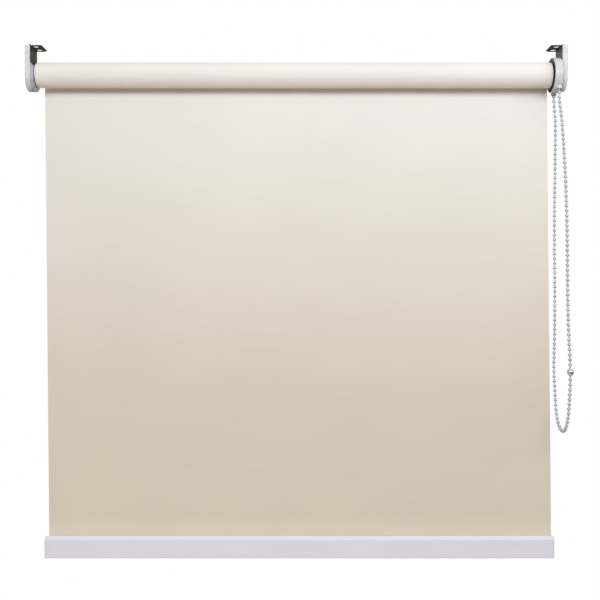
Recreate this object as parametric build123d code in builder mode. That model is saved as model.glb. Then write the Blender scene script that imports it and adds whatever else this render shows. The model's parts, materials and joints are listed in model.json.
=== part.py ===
"""Chain-operated roller blind: two end brackets, a fabric roll on an aluminium tube, a wrap-spring
chain drive on the right, a sprung idle pin on the left, a bottom bar and a hanging bead-chain loop.

X runs along the roller (to the right as the room sees it), Y points away from the room, Z points up.
The origin is midway between the brackets on the fixing plane, where the bracket flanges meet it.
The blind stands in its lowered state, with the fabric hanging off the back of the roll.
"""
from build123d import *

import math
import os

# ---- Driving dimensions, millimetres -------------------------------------------------------------
# Brackets and their covers
OVERALL_WIDTH = 670.0
AXIS_DROP = 35.0  # fixing plane to roller axis
BRACKET_DEPTH = 31.0
BRACKET_DROP = 55.5  # fixing plane to the lowest point of a cover
COVER_THICKNESS = 6.5
COVER_WALL = 1.4
COVER_LIP = 0.85
PLATE_THICKNESS = 1.2
FLANGE_WIDTH = 14.0
FLANGE_CHAMFER = 4.0
FLANGE_FRONT_Y = -10.5  # the flange is set back from the front of the plate
FOLD_RADIUS = 1.0
FIXING_HOLE_RADIUS = 3.9
FIXING_HOLE_SPACING = 14.0
FIXING_HOLE_MID_Y = 3.5
FIXING_HOLE_X = 324.0
PEG_RADIUS = 1.5
PEG_POINTS = [(-10.5, -31.0), (10.5, -31.0)]  # (y, z) of the two cover pegs
HUB_RADIUS = 6.1  # round bosses that centre the drive and the pin socket in the plates
RIB_HEIGHTS = (-22.0, -47.0)  # stiffening ribs inside a cover
RIB_THICKNESS = 1.0
RIB_HALF_LENGTH = 12.5
RIB_SETBACK = 1.2  # gap between a rib and the plate

# Roller
TUBE_RADIUS = 14.0
TUBE_WALL = 1.0
TUBE_LEFT = -321.6
TUBE_RIGHT = 316.0
FABRIC_THICKNESS = 0.3
ROLL_INNER_RADIUS = 14.25
ROLL_RADIUS = 15.5
ROLL_LEFT = -323.6
ROLL_RIGHT = 316.6
TAPE_WIDTH = 15.0
TAPE_THICKNESS = 0.2

# Hanging fabric and bottom bar
FABRIC_WIDTH = 636.4
FABRIC_TOP_CENTRE_X = -0.6
FABRIC_BOTTOM_CENTRE_X = 4.8  # the cloth hangs slightly out of square
FABRIC_Y = 15.95
BAR_WIDTH = 643.8
BAR_CENTRE_X = 3.9
BAR_HEIGHT = 27.8
BAR_DEPTH = 10.0
BAR_TOP_Z = -614.7
BAR_WALL = 1.2
BAR_CORNER_RADIUS = 2.4
BAR_BEVEL_HEIGHT = 3.9
BAR_BEVEL_DEPTH = 3.4
BAR_SLOT = 1.0
SLOT_ENTRY = 1.0  # how far the hanging cloth is drawn into the slot
KEDER_Z_BELOW_TOP = 6.2
KEDER_CHANNEL_RADIUS = 3.1
KEDER_RADIUS = 2.2
RAIL_WEB = 0.9  # walls round the keder channel and its slot
CAP_THICKNESS = 2.2
CAP_PLUG_LENGTH = 12.0

# Chain drive
BEAD_DIAMETER = 4.5
BEAD_PITCH = 6.0
SPROCKET_POCKETS = 12
CHAIN_X = 325.0
HOUSING_RADIUS = 21.4
HOUSING_WALL = 1.6
OUTLET_RADIUS = 3.5
OUTLET_BORE_RADIUS = 2.85
FRONT_OUTLET_END_Z = -54.2
REAR_OUTLET_END_Z = -57.2
AXLE_RADIUS = 6.5
AXLE_TIP_RADIUS = 5.5
RUNNING_CLEARANCE = 0.08
SPRING_WIRE = 1.0
SPRING_COIL_PITCH = 1.25

# Idle end
PIN_RADIUS = 3.0
SOCKET_THICKNESS = 4.2
SOCKET_TOP_OUTER_Z = -22.0
SOCKET_TOP_INNER_Z = -28.0
SNAP_WINDOW_DEPTH = 1.8
GROOVE_DEPTH = 0.6

# ---- Derived places -----------------------------------------------------------------------------
COVER_OUTER_X = OVERALL_WIDTH / 2
PLATE_INNER_X = COVER_OUTER_X - COVER_THICKNESS
PLATE_OUTER_X = PLATE_INNER_X + PLATE_THICKNESS
COVER_HALF_DEPTH = BRACKET_DEPTH / 2
PLATE_HALF_DEPTH = COVER_HALF_DEPTH - COVER_LIP - 0.05
FLANGE_TIP_X = PLATE_OUTER_X - FLANGE_WIDTH
SPROCKET_RADIUS = BEAD_PITCH / (2 * math.sin(math.pi / SPROCKET_POCKETS))
TUBE_BORE_RADIUS = TUBE_RADIUS - TUBE_WALL
BAR_BOTTOM_Z = BAR_TOP_Z - BAR_HEIGHT
SOCKET_INNER_X = -(PLATE_INNER_X - SOCKET_THICKNESS)

# Route of the hanging bead chain, (x, y, z), from the front outlet down, round and up to the rear one
CHAIN_ROUTE = [
    (325.0, -11.6, -50.0), (325.0, -11.8, -66.0), (326.6, -16.6, -88.0), (327.5, -21.8, -122.0),
    (327.6, -28.6, -160.0), (327.5, -34.3, -203.0), (327.6, -36.9, -250.0), (327.4, -38.2, -298.0),
    (327.6, -40.0, -338.0), (327.5, -43.8, -366.0), (327.5, -48.7, -391.0), (327.5, -49.1, -413.0),
    (327.5, -45.6, -437.0), (327.5, -39.4, -462.0), (327.8, -23.5, -478.8), (328.1, -0.5, -475.3),
    (328.4, 13.5, -456.9), (328.5, 18.6, -431.4), (328.5, 23.9, -402.3), (328.6, 20.0, -362.1),
    (328.5, 18.8, -312.0), (328.6, 20.5, -259.8), (328.5, 20.8, -207.7), (328.6, 18.5, -159.5),
    (328.6, 17.1, -119.5), (328.5, 15.9, -85.5), (325.0, 12.0, -66.0), (325.0, 11.6, -50.0),
]
STOP_BALL_CORNERS = (10, 11)  # the stop ball sits midway between these two points of the route
STOP_BALL_RADIUS = 4.1
BALL_SPLIT_WIDTH = 0.5
BALL_SPLIT_DEPTH = 0.35

os.makedirs("parts", exist_ok=True)


# ---- Helpers ------------------------------------------------------------------------------------
def across(x):
    """The plane square to the roller at x, centred on the roller axis, with its own x along +Y."""
    return Plane(origin=(x, 0, -AXIS_DROP), x_dir=(0, 1, 0), z_dir=(1, 0, 0))


def side_plane(x):
    """The plane square to the roller at x, centred on the fixing plane, with its own x along +Y."""
    return Plane(origin=(x, 0, 0), x_dir=(0, 1, 0), z_dir=(1, 0, 0))


def drum(x_from, x_to, radius, mode=Mode.ADD):
    """A cylinder about the roller axis, added to or taken from the part being built."""
    with BuildSketch(across(x_from)) as outline:
        Circle(radius)
    extrude(to_extrude=outline.sketch, amount=x_to - x_from, mode=mode)


def block(x_from, x_to, y_from, y_to, z_from, z_to, mode=Mode.ADD):
    """A box between two corners, added to or taken from the part being built."""
    middle = ((x_from + x_to) / 2, (y_from + y_to) / 2, (z_from + z_to) / 2)
    with Locations(middle):
        Box(abs(x_to - x_from), abs(y_to - y_from), abs(z_to - z_from), mode=mode)


def stadium(x, half_depth, top_z, bottom_z):
    """A bracket outline seen from the side: square at the top and a half circle at the bottom."""
    centre_z = bottom_z + half_depth
    with BuildSketch(side_plane(x)) as outline:
        with BuildLine():
            Polyline((-half_depth, centre_z), (-half_depth, top_z), (half_depth, top_z),
                     (half_depth, centre_z))
            ThreePointArc((half_depth, centre_z), (0, bottom_z), (-half_depth, centre_z))
        make_face()
    return outline.sketch


def save(part, name):
    """Labels a finished piece and writes it to its own file."""
    part.label = name
    export_step(part, f"parts/{name}.step")


# ---- Brackets and covers ------------------------------------------------------------------------
PLATE_BOTTOM_Z = -BRACKET_DROP + COVER_LIP + 0.05

for side, side_name in ((-1, "left"), (1, "right")):
    with BuildPart() as bracket:
        extrude(
            to_extrude=stadium(side * PLATE_INNER_X, PLATE_HALF_DEPTH, 0, PLATE_BOTTOM_Z),
            amount=side * PLATE_THICKNESS,
        )
        with BuildSketch(Plane.XY):
            with BuildLine():
                Polyline(
                    (side * PLATE_OUTER_X, FLANGE_FRONT_Y),
                    (side * PLATE_OUTER_X, COVER_HALF_DEPTH),
                    (side * (FLANGE_TIP_X + FLANGE_CHAMFER), COVER_HALF_DEPTH),
                    (side * FLANGE_TIP_X, COVER_HALF_DEPTH - FLANGE_CHAMFER / 2),
                    (side * FLANGE_TIP_X, FLANGE_FRONT_Y),
                    close=True,
                )
            make_face()
        extrude(amount=-PLATE_THICKNESS)
        # the fold between plate and flange is rounded on its outside
        fold_x = side * PLATE_OUTER_X
        fold_edge = (
            bracket.edges().filter_by(Axis.Y)
            .filter_by_position(Axis.Z, -0.01, 0.01)
            .filter_by_position(Axis.X, fold_x - 0.01, fold_x + 0.01)
        )
        fillet(fold_edge, radius=FOLD_RADIUS)
        # two fixing holes, one behind the other
        for step in (-0.5, 0.5):
            hole_y = FIXING_HOLE_MID_Y + step * FIXING_HOLE_SPACING
            with Locations((side * FIXING_HOLE_X, hole_y, 0)):
                Cylinder(FIXING_HOLE_RADIUS, 4 * PLATE_THICKNESS, mode=Mode.SUBTRACT)
        # hub hole and the two peg holes of the cover
        drum(side * (PLATE_INNER_X - 1), side * (PLATE_OUTER_X + 1), HUB_RADIUS + 0.1,
             mode=Mode.SUBTRACT)
        with BuildSketch(side_plane(side * (PLATE_INNER_X - 1))):
            with Locations(*PEG_POINTS):
                Circle(PEG_RADIUS + 0.1)
        extrude(amount=side * 4, mode=Mode.SUBTRACT)
    save(bracket.part, f"bracket_{side_name}")

    with BuildPart() as cover:
        extrude(
            to_extrude=stadium(side * PLATE_INNER_X, COVER_HALF_DEPTH, -1.3, -BRACKET_DROP),
            amount=side * COVER_THICKNESS,
        )
        outer_rim = cover.faces().sort_by(Axis.X)[-1 if side > 0 else 0].edges()
        fillet(outer_rim, radius=1.6)
        # the pocket that grips the plate's edge, then the hollow behind the plate
        plate_pocket = stadium(side * PLATE_INNER_X, PLATE_HALF_DEPTH + 0.05, -1.3,
                               PLATE_BOTTOM_Z - 0.05)
        extrude(to_extrude=plate_pocket, amount=side * PLATE_THICKNESS, mode=Mode.SUBTRACT)
        hollow = stadium(side * PLATE_OUTER_X, COVER_HALF_DEPTH - COVER_WALL, -1.3 - COVER_WALL,
                         -BRACKET_DROP + COVER_WALL)
        extrude(
            to_extrude=hollow,
            amount=side * (COVER_THICKNESS - PLATE_THICKNESS - COVER_WALL),
            mode=Mode.SUBTRACT,
        )
        # pegs that snap into the plate, and two stiffening ribs across the hollow
        with BuildSketch(side_plane(side * PLATE_INNER_X)):
            with Locations(*PEG_POINTS):
                Circle(PEG_RADIUS)
        extrude(amount=side * (COVER_THICKNESS - COVER_WALL / 2))
        for rib_z in RIB_HEIGHTS:
            block(
                side * (PLATE_OUTER_X + RIB_SETBACK), side * (COVER_OUTER_X - COVER_WALL / 2),
                -RIB_HALF_LENGTH, RIB_HALF_LENGTH, rib_z - RIB_THICKNESS / 2,
                rib_z + RIB_THICKNESS / 2,
            )
    save(cover.part, f"bracket_cover_{side_name}")

# ---- Idle end, on the left ----------------------------------------------------------------------
# Socket: clips to the plate, carries the pin, and has a sloping top shoulder
with BuildPart() as pin_socket:
    extrude(
        to_extrude=stadium(SOCKET_INNER_X, COVER_HALF_DEPTH, SOCKET_TOP_OUTER_Z, -BRACKET_DROP),
        amount=-SOCKET_THICKNESS,
    )
    with BuildSketch(Plane.XZ.offset(-COVER_HALF_DEPTH - 1)):
        with BuildLine():
            Polyline(
                (SOCKET_INNER_X + 1, SOCKET_TOP_INNER_Z - 1.4),
                (SOCKET_INNER_X + 1, SOCKET_TOP_OUTER_Z + 1),
                (-PLATE_INNER_X, SOCKET_TOP_OUTER_Z + 1),
                (-PLATE_INNER_X, SOCKET_TOP_OUTER_Z),
                close=True,
            )
        make_face()
    extrude(amount=BRACKET_DEPTH + 2, mode=Mode.SUBTRACT)
    inner_rim = pin_socket.faces().filter_by(Axis.X).sort_by(Axis.X)[-1].edges()
    fillet(inner_rim.filter_by(Axis.Y, reverse=True), radius=0.8)
    drum(-PLATE_OUTER_X + 0.1, -PLATE_INNER_X + 0.5, HUB_RADIUS)
    drum(-PLATE_INNER_X - 0.2, SOCKET_INNER_X + 1, PIN_RADIUS + RUNNING_CLEARANCE,
         mode=Mode.SUBTRACT)
    # snap window in the lower rim and finger groove at the front of the inner face
    block(SOCKET_INNER_X - SNAP_WINDOW_DEPTH, SOCKET_INNER_X + 1, -9.2, -6.4,
          -BRACKET_DROP - 0.5, -51.2, mode=Mode.SUBTRACT)
    block(SOCKET_INNER_X - GROOVE_DEPTH, SOCKET_INNER_X + 1, -COVER_HALF_DEPTH - 0.5, -11.0,
          -45.8, -44.6, mode=Mode.SUBTRACT)
save(pin_socket.part, "pin_socket")

PLUG_FLANGE_LEFT = -323.2
PLUG_CAVITY_LEFT = -318.0
PLUG_CAVITY_RIGHT = -291.0
PLUG_RIGHT = -289.0
PIN_TIP_X = -328.2
PIN_COLLAR_LEFT = -317.7
PIN_COLLAR_RIGHT = -315.7
PIN_TAIL_X = -286.0
PIN_COLLAR_RADIUS = 5.2
PLUG_CAVITY_RADIUS = 5.6
PLUG_CORE_RADIUS = 11.8
PLUG_RIB_COUNT = 8
PLUG_RIB_WIDTH = 1.6


def ribbed_plug(x_from, x_to, core_radius):
    """The part of an end fitting that fills the tube: a core with ribs that bear on the bore."""
    drum(x_from, x_to, core_radius)
    rib_root = core_radius - 0.5
    rib_tip = TUBE_BORE_RADIUS - 0.1
    with BuildSketch(across(x_from)) as ribs:
        with PolarLocations((rib_root + rib_tip) / 2, PLUG_RIB_COUNT):
            Rectangle(rib_tip - rib_root, PLUG_RIB_WIDTH)
    extrude(to_extrude=ribs.sketch, amount=x_to - x_from)


with BuildPart() as idle_plug:
    ribbed_plug(TUBE_LEFT, PLUG_RIGHT, PLUG_CORE_RADIUS)
    drum(PLUG_FLANGE_LEFT, TUBE_LEFT, TUBE_RADIUS - 0.1)
    drum(PLUG_FLANGE_LEFT - 1, PLUG_RIGHT + 1, PIN_RADIUS + RUNNING_CLEARANCE, mode=Mode.SUBTRACT)
    drum(PLUG_CAVITY_LEFT, PLUG_CAVITY_RIGHT, PLUG_CAVITY_RADIUS, mode=Mode.SUBTRACT)
save(idle_plug.part, "idle_plug")

with BuildPart() as idle_pin:
    drum(PIN_TIP_X, PIN_TAIL_X, PIN_RADIUS)
    drum(PIN_COLLAR_LEFT, PIN_COLLAR_RIGHT, PIN_COLLAR_RADIUS)
    tip_edges = idle_pin.edges().filter_by(GeomType.CIRCLE).sort_by(Axis.X)
    chamfer([tip_edges[0], tip_edges[-1]], length=0.7)
save(idle_pin.part, "idle_pin")

# Compression spring between the pin's collar and the inner wall of the plug
IDLE_SPRING_RADIUS = 4.3
IDLE_SPRING_WIRE = 0.8
IDLE_SPRING_TURNS = 8
idle_spring_left = PIN_COLLAR_RIGHT + IDLE_SPRING_WIRE / 2 + 0.1
idle_spring_length = PLUG_CAVITY_RIGHT - PIN_COLLAR_RIGHT - IDLE_SPRING_WIRE - 0.2


def coil(x_from, length, radius, pitch, wire, end_angle=0):
    """A round-wire coil about the roller axis that ends at end_angle, counted from +Y towards +Z.

    It is a sweep of the wire's section along a helix, and its path is returned.
    """
    helix = Edge.make_helix(pitch, length, radius, center=(x_from, 0, -AXIS_DROP), normal=(1, 0, 0))
    last = helix @ 1
    turn = end_angle - math.degrees(math.atan2(last.Z + AXIS_DROP, last.Y))
    path = helix.rotate(Axis((0, 0, -AXIS_DROP), (1, 0, 0)), turn)
    with BuildSketch(Plane(origin=path @ 0, z_dir=path % 0)) as section:
        Circle(wire / 2)
    sweep(sections=section.sketch, path=path, is_frenet=True)
    return path


with BuildPart() as idle_spring:
    coil(idle_spring_left, idle_spring_length, IDLE_SPRING_RADIUS,
         idle_spring_length / IDLE_SPRING_TURNS, IDLE_SPRING_WIRE)
save(idle_spring.part, "idle_spring")

# ---- Roller -------------------------------------------------------------------------------------
with BuildPart() as roller_tube:
    drum(TUBE_LEFT, TUBE_RIGHT, TUBE_RADIUS)
    drum(TUBE_LEFT, TUBE_RIGHT, TUBE_BORE_RADIUS, mode=Mode.SUBTRACT)
save(roller_tube.part, "roller_tube")

# Double-sided tape that holds the first turn of cloth to the tube
tape_half_angle = math.degrees(TAPE_WIDTH / 2 / TUBE_RADIUS)
tape_left = FABRIC_TOP_CENTRE_X - FABRIC_WIDTH / 2
with BuildPart() as fabric_tape:
    with BuildSketch(across(tape_left)):
        Circle(TUBE_RADIUS + TAPE_THICKNESS)
        Circle(TUBE_RADIUS, mode=Mode.SUBTRACT)
        with BuildLine():
            reach = TUBE_RADIUS * 2
            edge_y = reach * math.cos(math.radians(90 - tape_half_angle))
            edge_z = reach * math.sin(math.radians(90 - tape_half_angle))
            Polyline((0, 0), (edge_y, edge_z), (-edge_y, edge_z), close=True)
        make_face(mode=Mode.INTERSECT)
    extrude(amount=TUBE_RIGHT - tape_left)
save(fabric_tape.part, "fabric_tape")

with BuildPart() as fabric_roll:
    drum(ROLL_LEFT, ROLL_RIGHT, ROLL_RADIUS)
    drum(ROLL_LEFT, ROLL_RIGHT, ROLL_INNER_RADIUS, mode=Mode.SUBTRACT)
save(fabric_roll.part, "fabric_roll")

# ---- Chain drive, on the right ------------------------------------------------------------------
GUARD_LEFT = 318.0
GUARD_RIGHT = 318.8
GUARD_RADIUS = 20.6
GUARD_BORE_RADIUS = 12.2
GUARD_WINDOW_RADIUS = 16.4
GUARD_WINDOW_TURNS = (20, 90, 160, 215, 325)
HOUSING_LEFT = 318.2
OUTLET_TOP_Z = -47.5
BASE_LEFT = 327.6
AXLE_SHOULDER_X = 284.0
AXLE_TIP_X = 276.4
CROWN_LEFT = 278.0
CROWN_BORE_LEFT = 282.5
CROWN_BORE_RADIUS = 9.8
CROWN_FLANGE_RIGHT = 317.4
CROWN_NECK_RIGHT = 320.5
SPROCKET_LEFT = 320.9
SPROCKET_RIGHT = 326.9
SLEEVE_LEFT = 290.0
SLEEVE_RADIUS = 9.4
SLEEVE_BORE_RADIUS = 8.2
SLEEVE_MOUTH = 13.0
CROWN_CORE_RADIUS = 12.2
CROWN_KEY_LEFT = 292.0
CROWN_KEY_HALF_WIDTH = 1.6
CROWN_KEY_RADIUS = 8.1
SCREW_RADIUS = 1.95
SCREW_LENGTH = 12.0
SCREW_HEAD_RADIUS = 3.8
SCREW_HEAD_HEIGHT = 2.4
WASHER_RADIUS = 8.0
WASHER_THICKNESS = 1.0
DRIVE_SLOT_DEPTH = 1.0

strand_y = SPROCKET_RADIUS
washer_left = AXLE_TIP_X - WASHER_THICKNESS
screw_head_left = washer_left - SCREW_HEAD_HEIGHT

# Fixed base: a disc on the bracket plate with a hub through it and the axle that carries the drive
with BuildPart() as control_base:
    drum(BASE_LEFT, PLATE_INNER_X, HOUSING_RADIUS - HOUSING_WALL - 0.1)
    drum(PLATE_INNER_X, PLATE_OUTER_X + 0.6, HUB_RADIUS)
    drum(AXLE_SHOULDER_X, BASE_LEFT, AXLE_RADIUS)
    drum(AXLE_TIP_X, AXLE_SHOULDER_X, AXLE_TIP_RADIUS)
    drum(AXLE_TIP_X - 1, AXLE_TIP_X + SCREW_LENGTH + 2, SCREW_RADIUS + 0.05, mode=Mode.SUBTRACT)
    drum(AXLE_TIP_X + 30, PLATE_OUTER_X + 2, PIN_RADIUS, mode=Mode.SUBTRACT)
    # clearance for the two chain channels of the housing
    channel_mid_z = (OUTLET_TOP_Z + REAR_OUTLET_END_Z) / 2
    with Locations((CHAIN_X, -strand_y, channel_mid_z), (CHAIN_X, strand_y, channel_mid_z)):
        Cylinder(OUTLET_RADIUS + 0.1, OUTLET_TOP_Z - REAR_OUTLET_END_Z + 1, mode=Mode.SUBTRACT)
save(control_base.part, "control_base")

with BuildPart() as axle_washer:
    drum(washer_left, AXLE_TIP_X, WASHER_RADIUS)
    drum(washer_left - 1, AXLE_TIP_X + 1, SCREW_RADIUS + 0.25, mode=Mode.SUBTRACT)
save(axle_washer.part, "axle_washer")

with BuildPart() as axle_screw:
    drum(screw_head_left, washer_left, SCREW_HEAD_RADIUS)
    drum(washer_left, AXLE_TIP_X + SCREW_LENGTH, SCREW_RADIUS)
    head_edge = axle_screw.edges().filter_by(GeomType.CIRCLE).sort_by(Axis.X)[0]
    fillet(head_edge, radius=0.8)
    # cross recess
    for half_y, half_z in ((0.5, 2.6), (2.6, 0.5)):
        block(screw_head_left - 0.1, screw_head_left + DRIVE_SLOT_DEPTH, -half_y, half_y,
              -AXIS_DROP - half_z, -AXIS_DROP + half_z, mode=Mode.SUBTRACT)
save(axle_screw.part, "axle_screw")

# Housing: a ring round the sprocket with a spout below it for each strand of the chain
ring_bore = HOUSING_RADIUS - HOUSING_WALL
outlets = ((-strand_y, FRONT_OUTLET_END_Z), (strand_y, REAR_OUTLET_END_Z))
with BuildPart() as chain_housing:
    drum(HOUSING_LEFT, PLATE_INNER_X, HOUSING_RADIUS)
    rim_edges = chain_housing.edges().filter_by(GeomType.CIRCLE).sort_by(Axis.X)
    fillet(rim_edges[0], radius=0.5)
    drum(HOUSING_LEFT - 1, PLATE_INNER_X + 1, ring_bore, mode=Mode.SUBTRACT)
    # the rebate that the guard snaps into
    drum(HOUSING_LEFT - 1, GUARD_RIGHT, GUARD_RADIUS + 0.05, mode=Mode.SUBTRACT)
    for outlet_y, end_z in outlets:
        with BuildSketch(Plane.XY.offset(OUTLET_TOP_Z)):
            with Locations((CHAIN_X, outlet_y)):
                Circle(OUTLET_RADIUS)
        extrude(amount=end_z - OUTLET_TOP_Z)
    for outlet_y, end_z in outlets:
        with BuildSketch(Plane.XY.offset(OUTLET_TOP_Z + 1)):
            with Locations((CHAIN_X, outlet_y)):
                Circle(OUTLET_BORE_RADIUS)
        extrude(amount=end_z - OUTLET_TOP_Z - 2, mode=Mode.SUBTRACT)
save(chain_housing.part, "chain_housing")

# Guard: the thin dark plate that closes the housing towards the roll
with BuildPart() as chain_guard:
    drum(GUARD_LEFT, GUARD_RIGHT, GUARD_RADIUS)
    guard_rim = chain_guard.edges().filter_by(GeomType.CIRCLE).sort_by(Axis.X)[0]
    fillet(guard_rim, radius=0.3)
    drum(GUARD_LEFT - 1, GUARD_RIGHT + 1, GUARD_BORE_RADIUS, mode=Mode.SUBTRACT)
    for turn in GUARD_WINDOW_TURNS:
        with BuildSketch(across(GUARD_LEFT - 1)) as window:
            with Locations(Location((0, 0), turn)):
                with Locations((GUARD_WINDOW_RADIUS, 0)):
                    SlotOverall(8.0, 3.0, rotation=90)
        extrude(to_extrude=window.sketch, amount=GUARD_RIGHT - GUARD_LEFT + 2, mode=Mode.SUBTRACT)
save(chain_guard.part, "chain_guard")

# Sprocket with a half-open sleeve that reaches over the wrap springs
with BuildPart() as chain_sprocket:
    drum(SPROCKET_LEFT, SPROCKET_RIGHT, SPROCKET_RADIUS + 0.8)
    with BuildSketch(across(SPROCKET_LEFT)):
        Circle(SLEEVE_RADIUS)
        Circle(SLEEVE_BORE_RADIUS, mode=Mode.SUBTRACT)
        # open below, where the turned-out spring ends and the crown's key move
        with Locations((0, -SLEEVE_RADIUS)):
            Rectangle(SLEEVE_MOUTH, SLEEVE_RADIUS, mode=Mode.SUBTRACT)
    extrude(amount=SLEEVE_LEFT - SPROCKET_LEFT)
    drum(SLEEVE_LEFT - 1, SPROCKET_RIGHT + 1, AXLE_RADIUS + RUNNING_CLEARANCE, mode=Mode.SUBTRACT)
    with Locations(across(CHAIN_X)):
        with PolarLocations(SPROCKET_RADIUS, SPROCKET_POCKETS):
            Sphere(BEAD_DIAMETER / 2 + 0.15, mode=Mode.SUBTRACT)
    with BuildSketch(Plane.XZ):
        with Locations((CHAIN_X, -AXIS_DROP + SPROCKET_RADIUS + 0.9)):
            Rectangle(1.8, 3.4)
    revolve(axis=Axis((0, 0, -AXIS_DROP), (1, 0, 0)), revolution_arc=360, mode=Mode.SUBTRACT)
save(chain_sprocket.part, "chain_sprocket")

# The seven beads that lie in the sprocket's upper pockets, on their stretch of cord
with BuildPart() as chain_on_sprocket:
    with BuildSketch(across(CHAIN_X - 0.6)) as cord_band:
        Circle(SPROCKET_RADIUS + 0.6)
        Circle(SPROCKET_RADIUS - 0.6, mode=Mode.SUBTRACT)
        with Locations((0, -SPROCKET_RADIUS)):
            Rectangle(4 * SPROCKET_RADIUS, 2 * SPROCKET_RADIUS, mode=Mode.SUBTRACT)
    extrude(amount=1.2)
    with Locations(across(CHAIN_X)):
        with PolarLocations(SPROCKET_RADIUS, SPROCKET_POCKETS // 2 + 1, start_angle=0,
                            angular_range=180, endpoint=True):
            Sphere(BEAD_DIAMETER / 2)
save(chain_on_sprocket.part, "chain_on_sprocket")

# Two wrap springs on the axle, each with one end turned out between the crown's key and the sleeve
WRAP_SPRING_LENGTH = 8.75
WRAP_TANG_REACH = 9.3
WRAP_TANG_OFFSET = 27.0  # degrees either side of straight down
TANG_BURY = 0.2  # how far the tang starts inside the last coil
for spring_number, spring_left, tang_side in ((1, 294.0, -1), (2, 305.5, 1)):
    tang_angle = -90 + tang_side * WRAP_TANG_OFFSET
    with BuildPart() as wrap_spring:
        wrap_radius = AXLE_RADIUS + RUNNING_CLEARANCE + SPRING_WIRE / 2
        wrap_path = coil(spring_left, WRAP_SPRING_LENGTH, wrap_radius, SPRING_COIL_PITCH,
                         SPRING_WIRE, tang_angle)
        wire_end = wrap_path @ 1
        outwards = Vector(0, wire_end.Y, wire_end.Z + AXIS_DROP).normalized()
        tang_root = wire_end - outwards * TANG_BURY - (wrap_path % 1) * TANG_BURY
        with BuildSketch(Plane(origin=tang_root, z_dir=outwards)):
            Circle(SPRING_WIRE * 0.45)
        extrude(amount=WRAP_TANG_REACH - wrap_radius + TANG_BURY)
    save(wrap_spring.part, f"wrap_spring_{spring_number}")

# Drive crown: turned by the springs, it fills the tube's right end
with BuildPart() as drive_crown:
    ribbed_plug(CROWN_LEFT, TUBE_RIGHT, CROWN_CORE_RADIUS)
    drum(TUBE_RIGHT, CROWN_FLANGE_RIGHT, TUBE_RADIUS - 0.1)
    drum(CROWN_FLANGE_RIGHT, CROWN_NECK_RIGHT, GUARD_BORE_RADIUS - 0.4)
    drum(CROWN_BORE_LEFT, CROWN_NECK_RIGHT + 1, CROWN_BORE_RADIUS, mode=Mode.SUBTRACT)
    drum(CROWN_LEFT - 1, CROWN_BORE_LEFT + 1, AXLE_TIP_RADIUS + RUNNING_CLEARANCE,
         mode=Mode.SUBTRACT)
    # the inner key that the turned-out spring ends push on
    block(CROWN_KEY_LEFT, CROWN_FLANGE_RIGHT, -CROWN_KEY_HALF_WIDTH, CROWN_KEY_HALF_WIDTH,
          -AXIS_DROP - CROWN_BORE_RADIUS - 0.5, -AXIS_DROP - CROWN_KEY_RADIUS)
save(drive_crown.part, "drive_crown")

# ---- Hanging fabric and bottom bar --------------------------------------------------------------
cloth_bottom_z = BAR_TOP_Z - SLOT_ENTRY
with BuildPart() as hanging_fabric:
    with BuildSketch(Plane.XZ.offset(-FABRIC_Y + FABRIC_THICKNESS / 2)):
        with BuildLine():
            top_left = FABRIC_TOP_CENTRE_X - FABRIC_WIDTH / 2
            bottom_left = FABRIC_BOTTOM_CENTRE_X - FABRIC_WIDTH / 2
            Polyline(
                (top_left, -AXIS_DROP),
                (top_left + FABRIC_WIDTH, -AXIS_DROP),
                (bottom_left + FABRIC_WIDTH, cloth_bottom_z),
                (bottom_left, cloth_bottom_z),
                close=True,
            )
        make_face()
    extrude(amount=-FABRIC_THICKNESS)
save(hanging_fabric.part, "hanging_fabric")


def bar_outline(inset):
    """The bottom bar's section: upright faces, sloping shoulders and a rounded lower edge."""
    half = BAR_DEPTH / 2 - inset
    top = BAR_TOP_Z - inset
    bottom = BAR_BOTTOM_Z + inset
    shoulder_z = BAR_TOP_Z - BAR_BEVEL_HEIGHT - inset * 0.4
    shoulder_y = BAR_DEPTH / 2 - BAR_BEVEL_DEPTH - inset * 0.8
    corner = BAR_CORNER_RADIUS - inset * 0.8
    with BuildLine() as outline:
        Polyline(
            (FABRIC_Y - half + corner, bottom), (FABRIC_Y + half - corner, bottom))
        RadiusArc((FABRIC_Y + half - corner, bottom), (FABRIC_Y + half, bottom + corner), -corner)
        Polyline(
            (FABRIC_Y + half, bottom + corner), (FABRIC_Y + half, shoulder_z),
            (FABRIC_Y + shoulder_y, top), (FABRIC_Y - shoulder_y, top),
            (FABRIC_Y - half, shoulder_z), (FABRIC_Y - half, bottom + corner))
        RadiusArc((FABRIC_Y - half, bottom + corner), (FABRIC_Y - half + corner, bottom), -corner)
    return outline.line


BAR_LEFT = BAR_CENTRE_X - BAR_WIDTH / 2 + CAP_THICKNESS
BAR_RIGHT = BAR_CENTRE_X + BAR_WIDTH / 2 - CAP_THICKNESS
keder_z = BAR_TOP_Z - KEDER_Z_BELOW_TOP

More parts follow.
